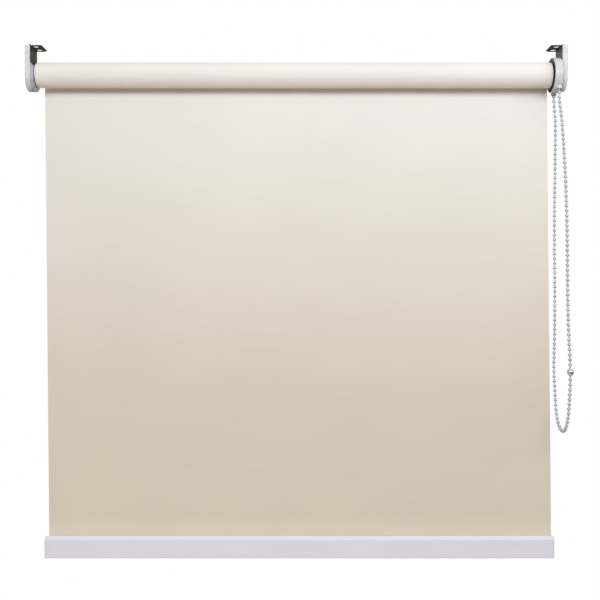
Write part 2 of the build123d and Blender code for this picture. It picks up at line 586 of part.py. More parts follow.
with BuildPart() as bottom_rail:
    with BuildSketch(side_plane(BAR_LEFT)) as rail_outline:
        make_face(bar_outline(0).edges())
        make_face(bar_outline(BAR_WALL).edges(), mode=Mode.SUBTRACT)
        # web under the keder channel, the channel itself and the slot above it
        with Locations((FABRIC_Y, keder_z)):
            Circle(KEDER_CHANNEL_RADIUS + RAIL_WEB)
        with Locations((FABRIC_Y, keder_z - KEDER_CHANNEL_RADIUS - RAIL_WEB / 2)):
            Rectangle(BAR_DEPTH - BAR_WALL, RAIL_WEB)
        with Locations((FABRIC_Y, (BAR_TOP_Z + keder_z) / 2 - 1.0)):
            Rectangle(BAR_SLOT + 2 * RAIL_WEB, KEDER_Z_BELOW_TOP - 2.2)
        with Locations((FABRIC_Y, keder_z)):
            Circle(KEDER_CHANNEL_RADIUS, mode=Mode.SUBTRACT)
        with Locations((FABRIC_Y, BAR_TOP_Z)):
            Rectangle(BAR_SLOT, 2 * KEDER_Z_BELOW_TOP, mode=Mode.SUBTRACT)
    extrude(amount=BAR_RIGHT - BAR_LEFT)
save(bottom_rail.part, "bottom_rail")

# Keder rod in the channel, and the cloth's hem wrapped round it below the slot
HEM_INNER_RADIUS = KEDER_RADIUS + 0.1
HEM_OUTER_RADIUS = HEM_INNER_RADIUS + FABRIC_THICKNESS
rod_left = FABRIC_BOTTOM_CENTRE_X - FABRIC_WIDTH / 2
with BuildPart() as keder_rod:
    with BuildSketch(side_plane(rod_left)):
        with Locations((FABRIC_Y, keder_z)):
            Circle(KEDER_RADIUS)
    extrude(amount=FABRIC_WIDTH)
save(keder_rod.part, "keder_rod")

with BuildPart() as fabric_hem:
    with BuildSketch(side_plane(rod_left)):
        with Locations((FABRIC_Y, keder_z)):
            Circle(HEM_OUTER_RADIUS)
            Circle(HEM_INNER_RADIUS, mode=Mode.SUBTRACT)
        stem_top = cloth_bottom_z - 0.35
        stem_bottom = keder_z + HEM_INNER_RADIUS + FABRIC_THICKNESS / 2
        with Locations((FABRIC_Y, (stem_top + stem_bottom) / 2)):
            Rectangle(2 * FABRIC_THICKNESS, stem_top - stem_bottom)
    extrude(amount=FABRIC_WIDTH)
save(fabric_hem.part, "fabric_hem")

# End caps: an outer plate of the bar's own section and a plug that presses into the hollow
CAP_PLUG_TOP_Z = keder_z - KEDER_CHANNEL_RADIUS - 1.3
CAP_PLUG_BOTTOM_Z = BAR_BOTTOM_Z + BAR_WALL + 1.3
for side, side_name, rail_end in ((-1, "left", BAR_LEFT), (1, "right", BAR_RIGHT)):
    with BuildPart() as rail_cap:
        with BuildSketch(side_plane(rail_end)) as cap_outline:
            make_face(bar_outline(0).edges())
        extrude(amount=side * CAP_THICKNESS)
        outer_face = rail_cap.faces().filter_by(Axis.X).sort_by(Axis.X)[-1 if side > 0 else 0]
        fillet(outer_face.edges(), radius=0.5)
        block(
            rail_end + side * 0.5, rail_end - side * CAP_PLUG_LENGTH,
            FABRIC_Y - BAR_DEPTH / 2 + BAR_WALL + 0.1, FABRIC_Y + BAR_DEPTH / 2 - BAR_WALL - 0.1,
            CAP_PLUG_BOTTOM_Z, CAP_PLUG_TOP_Z,
        )
        block(
            rail_end - side * 1.5, rail_end - side * (CAP_PLUG_LENGTH + 1),
            FABRIC_Y - BAR_DEPTH / 2 + BAR_WALL + 1.1, FABRIC_Y + BAR_DEPTH / 2 - BAR_WALL - 1.1,
            CAP_PLUG_BOTTOM_Z + 1, CAP_PLUG_TOP_Z - 1, mode=Mode.SUBTRACT,
        )
    save(rail_cap.part, f"rail_cap_{side_name}")

# ---- Bead chain loop ----------------------------------------------------------------------------
route = [Vector(*point) for point in CHAIN_ROUTE]


def corner_radius(before, corner, after):
    """The largest arc that both runs at a corner leave room for."""
    half_turn = math.radians((corner - before).get_angle(after - corner)) / 2
    shorter_run = min((corner - before).length, (after - corner).length)
    return 0.45 * shorter_run / math.tan(half_turn)


corner_radii = [corner_radius(*route[i:i + 3]) for i in range(len(route) - 2)]
print("chain corner radii:", [round(radius, 1) for radius in corner_radii])

with BuildPart() as chain_loop:
    with BuildLine() as chain_path:
        FilletPolyline(*route, radius=corner_radii)
    with BuildSketch(Plane(origin=chain_path.line @ 0, z_dir=chain_path.line % 0)):
        Circle(BEAD_DIAMETER / 2)
    sweep()
chain_length = sum(edge.length for edge in chain_path.edges())
section_area = math.pi * (BEAD_DIAMETER / 2) ** 2
print(f"chain length {chain_length:.1f}, volume {chain_loop.part.volume:.1f}, "
      f"section times length {section_area * chain_length:.1f}")
save(chain_loop.part, "chain_loop")

# Stop ball clamped on the front strand, bored for the chain
ball_above = route[STOP_BALL_CORNERS[0]]
ball_below = route[STOP_BALL_CORNERS[1]]
ball_plane = Plane(origin=(ball_above + ball_below) / 2, z_dir=ball_below - ball_above)
with BuildPart() as chain_stop_ball:
    with Locations(ball_plane):
        Sphere(STOP_BALL_RADIUS)
        Cylinder(BEAD_DIAMETER / 2 + 0.15, 4 * STOP_BALL_RADIUS, mode=Mode.SUBTRACT)
        # the split line down one side where the ball opens
        with Locations((STOP_BALL_RADIUS, 0, 0)):
            Box(2 * BALL_SPLIT_DEPTH, BALL_SPLIT_WIDTH, 4 * STOP_BALL_RADIUS, mode=Mode.SUBTRACT)
save(chain_stop_ball.part, "chain_stop_ball")
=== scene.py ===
"""Looks of the chain-operated roller blind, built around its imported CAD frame.

X runs along the roller, Y points away from the room and Z points up, in metres. The pieces that
bend are made here: the bead chain, the hanging cloth, the cloth wound on the roller and the idle
spring. Every other piece is the CAD node itself with a procedural material.
"""

import json
import math

import bpy
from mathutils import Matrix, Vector

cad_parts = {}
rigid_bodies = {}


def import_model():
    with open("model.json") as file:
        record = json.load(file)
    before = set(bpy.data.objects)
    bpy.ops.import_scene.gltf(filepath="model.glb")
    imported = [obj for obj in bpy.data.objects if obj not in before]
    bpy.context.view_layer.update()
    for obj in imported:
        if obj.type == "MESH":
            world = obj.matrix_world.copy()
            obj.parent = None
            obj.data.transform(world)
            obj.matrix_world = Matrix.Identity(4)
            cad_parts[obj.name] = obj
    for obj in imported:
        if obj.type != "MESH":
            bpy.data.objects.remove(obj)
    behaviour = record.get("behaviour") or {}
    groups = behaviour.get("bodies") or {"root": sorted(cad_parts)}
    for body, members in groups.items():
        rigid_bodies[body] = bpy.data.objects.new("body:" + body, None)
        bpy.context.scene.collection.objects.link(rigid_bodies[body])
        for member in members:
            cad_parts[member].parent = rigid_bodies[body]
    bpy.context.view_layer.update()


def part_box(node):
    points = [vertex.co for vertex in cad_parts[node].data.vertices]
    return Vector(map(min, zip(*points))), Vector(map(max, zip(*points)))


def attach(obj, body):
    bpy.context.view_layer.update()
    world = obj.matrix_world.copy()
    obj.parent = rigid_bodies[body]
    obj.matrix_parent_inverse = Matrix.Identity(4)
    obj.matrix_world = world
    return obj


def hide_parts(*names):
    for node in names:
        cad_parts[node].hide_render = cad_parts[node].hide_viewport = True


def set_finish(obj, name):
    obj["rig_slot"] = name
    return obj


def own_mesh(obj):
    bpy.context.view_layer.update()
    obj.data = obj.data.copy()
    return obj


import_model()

MM = 0.001
TINY = 1e-12  # metres, far below any real step

# ---- Values: camera -----------------------------------------------------------------------------
CAMERA_PLACE = (0.0046, -1.100, -0.31575)  # about level with the middle of the blind
CAMERA_LENS_MM = 52.8
CAMERA_SENSOR_MM = 36.0

# ---- Values: bead chain -------------------------------------------------------------------------
BEAD_RADIUS = 2.25 * MM
BEAD_PITCH = 6.0 * MM
BEAD_SIDES = 18
COLLAR_REACH = 2.7 * MM     # from the bead's middle to the end of its collar
COLLAR_RADIUS = 0.95 * MM
COLLAR_BEVEL = 0.15 * MM
COLLAR_END_SHARE = 0.8      # radius of the collar's end, as a share of the collar's own
BALL_START_DEGREES = 22     # where the ball comes out of the collar, from the string's direction
BALL_STEPS = 8              # from there to the ball's widest place
STRING_RADIUS = 0.7 * MM
STRING_SIDES = 10
STRING_STEP = 1.5 * MM
LINE_STEPS = 12             # points along the chain's line for each control point
CHAIN_ROUTE = [
    (0.3250, -0.0116, -0.0500), (0.3250, -0.0118, -0.0660), (0.3266, -0.0166, -0.0880),
    (0.3275, -0.0218, -0.1220), (0.3276, -0.0286, -0.1600), (0.3275, -0.0343, -0.2030),
    (0.3276, -0.0369, -0.2500), (0.3274, -0.0382, -0.2980), (0.3276, -0.0400, -0.3380),
    (0.3275, -0.0438, -0.3660), (0.3275, -0.0487, -0.3910), (0.3275, -0.0491, -0.4130),
    (0.3275, -0.0456, -0.4370), (0.3275, -0.0394, -0.4620), (0.3278, -0.0235, -0.4788),
    (0.3281, -0.0005, -0.4753), (0.3284, 0.0135, -0.4569), (0.3285, 0.0186, -0.4314),
    (0.3285, 0.0239, -0.4023), (0.3286, 0.0200, -0.3621), (0.3285, 0.0188, -0.3120),
    (0.3286, 0.0205, -0.2598), (0.3285, 0.0208, -0.2077), (0.3286, 0.0185, -0.1595),
    (0.3286, 0.0171, -0.1195), (0.3285, 0.0159, -0.0855), (0.3250, 0.0120, -0.0660),
    (0.3250, 0.0116, -0.0500),
]

# ---- Values: cloth ------------------------------------------------------------------------------
roll_low, roll_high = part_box("fabric_roll")
cloth_low, cloth_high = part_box("hanging_fabric")
rod_low, rod_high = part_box("keder_rod")
AXIS_Z = (roll_low.z + roll_high.z) / 2
CLOTH_THICKNESS = cloth_high.y - cloth_low.y
CLOTH_WIDTH = rod_high.x - rod_low.x
CLOTH_Y = (cloth_low.y + cloth_high.y) / 2
CLOTH_LENGTH = cloth_high.z - cloth_low.z
CLOTH_LEAN = (cloth_high.x - cloth_low.x) - CLOTH_WIDTH  # how far the foot is right of the top
CLOTH_COLUMNS, CLOTH_ROWS = 72, 84
RIPPLES = [  # height in mm, waves across, waves down, phase
    (0.22, 2.3, 0.35, 0.6),
    (0.13, 5.1, -0.8, 2.1),
]
FREEDOM_POWER = 0.8         # below 1, the cloth ripples nearly as much close to its held ends
CURL_MM = 0.2               # how far the cut sides curl back
CURL_START = 0.93           # where the curl starts, from 0 at the middle to 1 at the side
WOUND_TURNS = 4.0
WOUND_STEPS_PER_TURN = 72
WOUND_GAP = 0.05 * MM       # between the roll and what it lies against
WOUND_SHIFT = cloth_low.x - roll_low.x  # from the first turn to the last, along the roller
WOUND_SHIFT_POWER = 1.3     # above 1, the outer turns have crept more than the inner ones

# ---- Values: idle spring ------------------------------------------------------------------------
SPRING_WIRE_RADIUS = 0.4 * MM
SPRING_TURNS = 8
SPRING_STEPS_PER_TURN = 36
SPRING_SIDES = 12
SPRING_GATHER = 0.035       # how far the turns are drawn to the ends and the middle, by length

# ---- Values: floor, lamps and world -------------------------------------------------------------
FLOOR_RADIUS = 0.72
FLOOR_Z = -0.95
FLOOR_SIDES = 96
LAMPS = [  # name, place, target, width, height, watts, colour
    ("key", (0.17, -0.82, 0.145), (-0.02, 0, 0.04), 3.2, 0.28, 15.7, (0.81, 0.89, 0.98)),
    ("back_fill", (-1.2, 1.0, 0.25), (0, 0, -0.3), 0.8, 0.8, 18.0, (0.90, 0.95, 1.0)),
]
WORLD_BELOW = (0.13, 0.07, 0.01, 1)  # the light that comes from straight below
WORLD_ABOVE = (0.66, 0.64, 0.61, 1)  # the light that comes from straight above
WORLD_SEEN = (1, 1, 1, 1)            # the background behind the blind


# ---- Camera -------------------------------------------------------------------------------------
def add_object(name, data):
    """A new object at the origin of the frame."""
    made = bpy.data.objects.new(name, data)
    bpy.context.scene.collection.objects.link(made)
    return made


def add_camera():
    """The camera stands level, square to the blind and 1.1 m in front of its fixing plane."""
    lens = bpy.data.cameras.new("camera")
    lens.sensor_width = CAMERA_SENSOR_MM
    lens.lens = CAMERA_LENS_MM
    camera = add_object("camera", lens)
    camera.location = CAMERA_PLACE
    camera.rotation_euler = (math.radians(90), 0, 0)
    bpy.context.scene.camera = camera


add_camera()


# ---- Lines, rings and meshes --------------------------------------------------------------------
def mesh_object(name, points, faces, sharp_degrees=35):
    """A smooth-shaded mesh piece whose edges sharper than sharp_degrees stay crisp."""
    mesh = bpy.data.meshes.new(name)
    mesh.from_pydata([tuple(point) for point in points], [], faces)
    mesh.validate()
    mesh.shade_smooth()
    mesh.set_sharp_from_angle(angle=math.radians(sharp_degrees))
    return add_object(name, mesh)


def smooth_line(points, steps_per_point):
    """Points along the NURBS line that has the given control points."""
    data = bpy.data.curves.new("line", "CURVE")
    data.dimensions = "3D"
    spline = data.splines.new("NURBS")
    spline.points.add(len(points) - 1)
    for control, point in zip(spline.points, points):
        control.co = (*point, 1)
    spline.order_u = 3
    spline.use_endpoint_u = True
    spline.resolution_u = steps_per_point
    data.resolution_u = steps_per_point
    curve = add_object("line", data)
    mesh = bpy.data.meshes.new_from_object(curve)
    line = [vertex.co.copy() for vertex in mesh.vertices]
    bpy.data.objects.remove(curve)
    bpy.data.curves.remove(data)
    bpy.data.meshes.remove(mesh)
    return line


class Line:
    """A polyline that can be read by distance along it."""

    def __init__(self, points):
        self.points = points
        self.marks = [0.0]
        for before, after in zip(points, points[1:]):
            self.marks.append(self.marks[-1] + (after - before).length)
        self.length = self.marks[-1]

    def at(self, distance):
        """The point and the direction at a distance from the start."""
        distance = min(max(distance, 0.0), self.length)
        index = next(i for i in range(1, len(self.marks)) if self.marks[i] >= distance - TINY)
        start, end = self.points[index - 1], self.points[index]
        run = max(self.marks[index] - self.marks[index - 1], TINY)
        share = (distance - self.marks[index - 1]) / run
        return start.lerp(end, share), (end - start).normalized()


def ring(points, centre, along, radius, sides):
    """Adds a ring of points square to along, and returns their numbers."""
    turn = along.to_track_quat("Z", "X")
    first = len(points)
    for side in range(sides):
        angle = math.tau * side / sides
        spoke = Vector((radius * math.cos(angle), radius * math.sin(angle), 0))
        points.append(centre + turn @ spoke)
    return list(range(first, first + sides))


def skin(faces, rings):
    """Joins a row of rings into one closed tube with flat ends."""
    sides = len(rings[0])
    for lower, upper in zip(rings, rings[1:]):
        for side in range(sides):
            after = (side + 1) % sides
            faces.append((lower[side], lower[after], upper[after], upper[side]))
    faces.append(tuple(reversed(rings[0])))
    faces.append(tuple(rings[-1]))


# ---- Bead chain ---------------------------------------------------------------------------------
def bead_profile():
    """Distance along and radius of a ball with a short collar where the string leaves each end."""
    half = [
        (-COLLAR_REACH, COLLAR_END_SHARE * COLLAR_RADIUS),
        (-COLLAR_REACH + COLLAR_BEVEL, COLLAR_RADIUS),
    ]
    for step in range(BALL_STEPS + 1):
        angle = math.radians(BALL_START_DEGREES + (90 - BALL_START_DEGREES) * step / BALL_STEPS)
        half.append((-BEAD_RADIUS * math.cos(angle), BEAD_RADIUS * math.sin(angle)))
    return half + [(-along, radius) for along, radius in reversed(half[:-1])]


def make_chain():
    """The hanging loop: moulded beads at an even pitch on a thin string."""
    line = Line(smooth_line(CHAIN_ROUTE, LINE_STEPS))
    points, faces = [], []
    string_steps = round(line.length / STRING_STEP)
    rings = []
    for step in range(string_steps + 1):
        centre, along = line.at(line.length * step / string_steps)
        rings.append(ring(points, centre, along, STRING_RADIUS, STRING_SIDES))
    skin(faces, rings)
    gaps = round((line.length - BEAD_PITCH) / BEAD_PITCH)
    profile = bead_profile()
    for bead in range(gaps + 1):
        centre, along = line.at(BEAD_PITCH / 2 + (line.length - BEAD_PITCH) * bead / gaps)
        skin(faces, [
            ring(points, centre + along * step, along, radius, BEAD_SIDES)
            for step, radius in profile
        ])
    chain = mesh_object("bead_chain", points, faces, sharp_degrees=50)
    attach(chain, "root")
    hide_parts("chain_loop")
    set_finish(chain, "chain_plastic")


make_chain()


# ---- Hanging cloth ------------------------------------------------------------------------------
def make_hanging_cloth():
    """The hanging cloth, a little out of square, with the faint ripples of a weighted sheet."""
    columns, rows = CLOTH_COLUMNS, CLOTH_ROWS
    front, back = [], []
    for row in range(rows + 1):
        down = row / rows
        z = cloth_high.z - CLOTH_LENGTH * down
        left = cloth_low.x + CLOTH_LEAN * down
        # the cloth is flat where the roll and the bar hold it
        freedom = math.sin(math.pi * down) ** FREEDOM_POWER
        for column in range(columns + 1):
            across = column / columns
            ripple = sum(
                height * math.sin(math.tau * (waves_across * across + waves_down * down) + phase)
                for height, waves_across, waves_down, phase in RIPPLES
            )
            edge = max(0.0, abs(2 * across - 1) - CURL_START) / (1 - CURL_START)
            curl = CURL_MM * edge * edge
            x, y = left + CLOTH_WIDTH * across, CLOTH_Y + (ripple + curl) * freedom * MM
            front.append((x, y - CLOTH_THICKNESS / 2, z))
            back.append((x, y + CLOTH_THICKNESS / 2, z))
    faces = []
    for row in range(rows):
        for column in range(columns):
            corner = row * (columns + 1) + column
            face = (corner, corner + columns + 1, corner + columns + 2, corner + 1)
            faces.append(face)
            faces.append(tuple(len(front) + number for number in reversed(face)))
    # the cut edges all round
    top = list(range(columns + 1))
    right = [row * (columns + 1) + columns for row in range(1, rows + 1)]
    bottom = [rows * (columns + 1) + column for column in range(columns - 1, -1, -1)]
    left_side = [row * (columns + 1) for row in range(rows - 1, 0, -1)]
    rim = top + right + bottom + left_side
    for start, end in zip(rim, rim[1:] + rim[:1]):
        faces.append((start, end, len(front) + end, len(front) + start))
    cloth = mesh_object("blind_cloth", front + back, faces)
    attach(cloth, "root")
    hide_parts("hanging_fabric")
    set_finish(cloth, "blind_fabric")
    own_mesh(cloth)
    return cloth


# ---- Wound cloth --------------------------------------------------------------------------------
def make_wound_cloth():
    """The cloth on the tube, wound as one spiral whose turns have crept sideways.

    Returns the piece and the length of cloth in it.
    """
    steps = round(WOUND_TURNS * WOUND_STEPS_PER_TURN)
    _, tape_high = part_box("fabric_tape")
    inner = tape_high.z - AXIS_Z + WOUND_GAP
    # the last turn's outer face lies just in front of the hanging cloth
    outer = CLOTH_Y - 1.5 * CLOTH_THICKNESS - WOUND_GAP
    points, length = [], 0.0
    for step in range(steps + 1):
        share = step / steps
        # counted so that the last step ends at the back, where the cloth leaves the roll
        angle = math.tau * (share - 1) * WOUND_TURNS
        radius = inner + (outer - inner) * share
        left = roll_low.x + WOUND_SHIFT * share ** WOUND_SHIFT_POWER
        right = left + CLOTH_WIDTH
        length += radius * math.tau / WOUND_STEPS_PER_TURN if step else 0.0
        for x, lift in ((left, 0), (right, 0), (right, 1), (left, 1)):
            reach = radius + lift * CLOTH_THICKNESS
            points.append((x, reach * math.cos(angle), AXIS_Z + reach * math.sin(angle)))
    faces = [(0, 1, 2, 3)]
    for step in range(steps):
        a, b = 4 * step, 4 * (step + 1)
        for side in range(4):
            after = (side + 1) % 4
            faces.append((a + side, b + side, b + after, a + after))
    last = 4 * steps
    faces.append((last + 3, last + 2, last + 1, last))
    wound = mesh_object("wound_cloth", points, faces)
    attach(wound, "roller")
    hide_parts("fabric_roll")
    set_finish(wound, "blind_fabric")
    return wound, length


hanging_cloth = make_hanging_cloth()
wound_cloth, wound_length = make_wound_cloth()


# ---- Idle spring --------------------------------------------------------------------------------
def make_idle_spring():
    """The compression spring behind the pin's collar, which shortens as the pin is pushed in."""
    low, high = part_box("idle_spring")
    coil_radius = (high.z - low.z) / 2 - SPRING_WIRE_RADIUS
    length = high.x - low.x - 2 * SPRING_WIRE_RADIUS
    points, faces, rings = [], [], []
    steps = SPRING_TURNS * SPRING_STEPS_PER_TURN
    for step in range(steps + 1):
        share = step / steps
        rise = share - SPRING_GATHER * math.sin(2 * math.tau * share)
        angle = math.tau * SPRING_TURNS * share
        centre = Vector((
            low.x + SPRING_WIRE_RADIUS + length * rise,
            coil_radius * math.cos(angle),
            AXIS_Z + coil_radius * math.sin(angle),
        ))
        along = Vector((
            length / (math.tau * SPRING_TURNS),
            -coil_radius * math.sin(angle),
            coil_radius * math.cos(angle),
        )).normalized()
        rings.append(ring(points, centre, along, SPRING_WIRE_RADIUS, SPRING_SIDES))
    skin(faces, rings)
    spring = mesh_object("idle_coil", points, faces, sharp_degrees=60)
    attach(spring, "roller")
    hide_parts("idle_spring")
    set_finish(spring, "spring_steel")
    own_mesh(spring)


make_idle_spring()


# ---- Materials ----------------------------------------------------------------------------------
WAVE_UNIT = 0.31416                # the wave texture's scale at which it repeats once per unit
MIX_FIRST, MIX_SECOND, MIX_RESULT = 6, 7, 2  # the Mix node's colour sockets
EDGE_FLAT, EDGE_WORN = 0.98, 0.75  # cosine of an edge's rounding where wear starts and is full
NOISE_CORE = (0.35, 0.65)          # most of a noise's values lie between these
NOISE_WIDE = (0.3, 0.7)            # nearly all of them lie between these


class Finish:
    """One procedural material: a Principled shader, and short ways to add nodes that drive it."""

    def __init__(self, name, colour, roughness, **sockets):
        self.material = bpy.data.materials.new(name)
        self.material.use_nodes = True
        self.tree = self.material.node_tree
        self.shader = self.tree.nodes["Principled BSDF"]
        self.shader.inputs["Base Color"].default_value = (*colour, 1)
        self.shader.inputs["Roughness"].default_value = roughness
        for socket, value in sockets.items():
            self.shader.inputs[socket.replace("_", " ")].default_value = value
        self.place = self.node("ShaderNodeTexCoord").outputs["Object"]
        self.normal = None

    def node(self, kind, inputs=None, **settings):
        """A node with its settings, and its inputs as values or as links."""
        made = self.tree.nodes.new(kind)
        for key, value in settings.items():
            setattr(made, key, value)
        for key, value in (inputs or {}).items():
            if isinstance(value, bpy.types.NodeSocket):
                self.tree.links.new(value, made.inputs[key])
            else:
                made.inputs[key].default_value = value
        return made

    def stretched(self, per_metre):
        """The place on the piece, scaled to repeats per metre along X, Y and Z."""
        mapping = self.node("ShaderNodeMapping", {"Vector": self.place, "Scale": per_metre})
        return mapping.outputs["Vector"]

    def part(self, axis):
        """The place along one axis, in metres."""
        return self.node("ShaderNodeSeparateXYZ", {0: self.place}).outputs[axis]

    def noise(self, per_metre, detail=3.0, rough=0.55):
        """Noise from 0 to 1, with that many grains per metre along X, Y and Z."""
        return self.node(
            "ShaderNodeTexNoise",
            {"Vector": self.stretched(per_metre), "Scale": 1.0, "Detail": detail,
             "Roughness": rough},
        ).outputs["Fac"]

    def bands(self, axis, per_metre, wobble):
        """Parallel threads: a wave across one axis, from 0 to 1."""
        scale = [0.0, 0.0, 0.0]
        scale["XYZ".index(axis)] = per_metre
        return self.node(
            "ShaderNodeTexWave",
            {"Vector": self.stretched(scale), "Scale": WAVE_UNIT, "Distortion": wobble,
             "Detail": 1.0, "Detail Scale": 1.0},
            bands_direction=axis,
        ).outputs["Fac"]

    def times(self, first, second):
        """The product of two numbers or sockets."""
        return self.node("ShaderNodeMath", {0: first, 1: second}, operation="MULTIPLY").outputs[0]

    def weighted(self, first, *others):
        """The sum of sockets, each times its weight, given as (socket, weight) pairs."""
        total = self.times(*first)
        for pair in others:
            inputs = {0: total, 1: self.times(*pair)}
            total = self.node("ShaderNodeMath", inputs, operation="ADD").outputs[0]
        return total

    def spread(self, value, low, high, new_low=0.0, new_high=1.0):
        """value from low…high to new_low…new_high, held inside them."""
        return self.node(
            "ShaderNodeMapRange",
            {"Value": value, "From Min": low, "From Max": high,
             "To Min": new_low, "To Max": new_high},
        ).outputs["Result"]

    def mixed(self, factor, first, second):
        """The colour that runs from first, a colour or a socket, to the colour second."""
        start = first if isinstance(first, bpy.types.NodeSocket) else (*first, 1)
        inputs = {"Factor": factor, MIX_FIRST: start, MIX_SECOND: (*second, 1)}
        return self.node("ShaderNodeMix", inputs, data_type="RGBA").outputs[MIX_RESULT]

    def paint(self, socket):
        """Drives the base colour."""
        self.tree.links.new(socket, self.shader.inputs["Base Color"])

    def gloss(self, socket):
        """Drives the roughness."""
        self.tree.links.new(socket, self.shader.inputs["Roughness"])

    def relief(self, height, depth, strength):
        """Adds relief of that depth in metres on top of any that is there."""
        inputs = {"Height": height, "Distance": depth, "Strength": strength}
        if self.normal is not None:
            inputs["Normal"] = self.normal
        self.normal = self.node("ShaderNodeBump", inputs).outputs["Normal"]
        self.tree.links.new(self.normal, self.shader.inputs["Normal"])

    def soften(self, radius):
        """Rounds the look of the crisp edges, and returns how near an edge is, from 0 to 1."""
        rounded = self.node("ShaderNodeBevel", {"Radius": radius}, samples=6).outputs["Normal"]
        self.normal = rounded
        self.tree.links.new(rounded, self.shader.inputs["Normal"])
        flat = self.node("ShaderNodeNewGeometry").outputs["Normal"]
        alike = self.node("ShaderNodeVectorMath", {0: rounded, 1: flat}, operation="DOT_PRODUCT")
        return self.spread(alike.outputs["Value"], EDGE_FLAT, EDGE_WORN)

    def grain(self, detail_colour, per_metre=(180, 180, 180)):
        """A soft mottling between the shader's own colour and detail_colour."""
        own = tuple(self.shader.inputs["Base Color"].default_value)[:3]
        return self.mixed(self.spread(self.noise(per_metre), *NOISE_CORE), own, detail_colour)


def scaled(colour, factor):
    """The colour made lighter or darker."""
    return tuple(min(1.0, channel * factor) for channel in colour)


def cloth_finish():
    """Coated polyester: a fine plain weave, some thicker threads, painted shade that runs darker
    and warmer down the cloth, and painted light just above the bar.
    """
    high, low = (0.812, 0.757, 0.697), (0.748, 0.655, 0.540)
    shade_starts_z, shade_full_z = -0.06, -0.44
    bounce_starts_z, bounce_full_z, bounce_gain = -0.590, -0.612, 1.11
    made = Finish("blind_fabric", high, 0.82, Sheen_Weight=0.05, Sheen_Roughness=0.5)
    slubs = made.noise((11, 60, 1300), detail=4.0, rough=0.62)
    fine = made.noise((300, 600, 3200), detail=2.0)
    patches = made.noise((6, 6, 6), detail=2.0)
    mix = made.weighted((slubs, 0.40), (fine, 0.27), (patches, 0.33))
    height = made.part("Z")
    # painted shade: the colour runs from high to the darker, warmer low, standing for the light
    # falling off down the cloth
    tone = made.mixed(made.spread(height, shade_starts_z, shade_full_z), high, low)
    # painted light: the cloth is painted lighter just above the bar, standing for light bounced up
    # from the white bar
    painted_bounce = made.spread(height, bounce_starts_z, bounce_full_z, 1.0, bounce_gain)
    shade = made.times(made.spread(mix, 0.34, 0.66, 0.953, 1.039), painted_bounce)
    shades = made.node("ShaderNodeCombineXYZ", {0: shade, 1: shade, 2: shade}).outputs[0]
    shaded = made.node("ShaderNodeVectorMath", {0: tone, 1: shades}, operation="MULTIPLY")
    made.paint(shaded.outputs[0])
    made.gloss(made.spread(slubs, *NOISE_WIDE, 0.88, 0.76))
    weft = made.bands("Z", per_metre=2200, wobble=0.4)
    warp = made.bands("X", per_metre=2600, wobble=0.4)
    made.relief(slubs, depth=0.08 * MM, strength=0.35)
    made.relief(made.times(weft, warp), depth=0.06 * MM, strength=0.5)
    return made.material


def moulded_finish(name, colour, roughness, grain_mm=0.35, edge=0.6 * MM, shade_seam=None, **sockets):
    """Moulded plastic: a fine eroded grain, cloudy tone, and edges rubbed a little brighter.

    It darkens between the two X places it is given: painted shade in the joint where two parts
    meet.
    """
    made = Finish(name, colour, roughness, **sockets)
    worn = made.soften(edge)
    cloud = made.grain(scaled(colour, 0.93))
    body = made.mixed(made.times(worn, 0.35), cloud, scaled(colour, 1.18))
    # painted shade: the joint is painted dark where the shade falls between two parts
    if shade_seam:
        body = made.mixed(made.spread(made.part("X"), *shade_seam), body, scaled(colour, 0.25))
    made.paint(body)
    per_metre = 1 / (grain_mm * MM)
    pits = made.noise((per_metre, per_metre, per_metre), detail=2.0)
    smears = made.noise((90, 90, 240), detail=4.0)
    made.gloss(made.spread(smears, *NOISE_WIDE, roughness - 0.03, roughness + 0.04))
    made.relief(pits, depth=0.02 * MM, strength=0.6)
    return made.material


def brushed_finish(name, colour, roughness, along, edge=0.4 * MM):
    """Drawn or brushed metal: fine scratches along one axis over a soft tone."""
    made = Finish(name, colour, roughness, Metallic=1.0)
    worn = made.soften(edge)
    scale = [2600.0, 2600.0, 2600.0]
    scale["XYZ".index(along)] = 45.0
    scratches = made.noise(tuple(scale), detail=5.0, rough=0.7)
    clouds = made.noise((70, 70, 70), detail=3.0)
    both = made.weighted((scratches, 0.6), (clouds, 0.4))
    body = made.mixed(made.spread(both, *NOISE_CORE), scaled(colour, 0.82), scaled(colour, 1.16))
    made.paint(made.mixed(made.times(worn, 0.5), body, scaled(colour, 1.7)))
    made.gloss(made.spread(scratches, *NOISE_WIDE, roughness + 0.10, roughness - 0.10))
    made.relief(scratches, depth=0.012 * MM, strength=0.5)
    return made.material


def zinc_finish(name, dark, light):
    """Passivated zinc on pressed steel: cloudy spangle, fine rolling lines and rubbed edges."""
    made = Finish(name, dark, 0.5, Metallic=0.3, Specular_IOR_Level=0.3)
    worn = made.soften(0.4 * MM)
    spangle = made.noise((260, 260, 260), detail=4.0, rough=0.65)
    lines = made.noise((2400, 2400, 60), detail=4.0)
    both = made.weighted((spangle, 0.7), (lines, 0.3))
    body = made.mixed(made.spread(both, 0.40, 0.62), dark, light)
    made.paint(made.mixed(made.times(worn, 0.4), body, scaled(light, 1.8)))
    made.gloss(made.spread(spangle, *NOISE_CORE, 0.62, 0.42))
    made.relief(lines, depth=0.015 * MM, strength=0.5)
    made.relief(spangle, depth=0.02 * MM, strength=0.3)
    return made.material


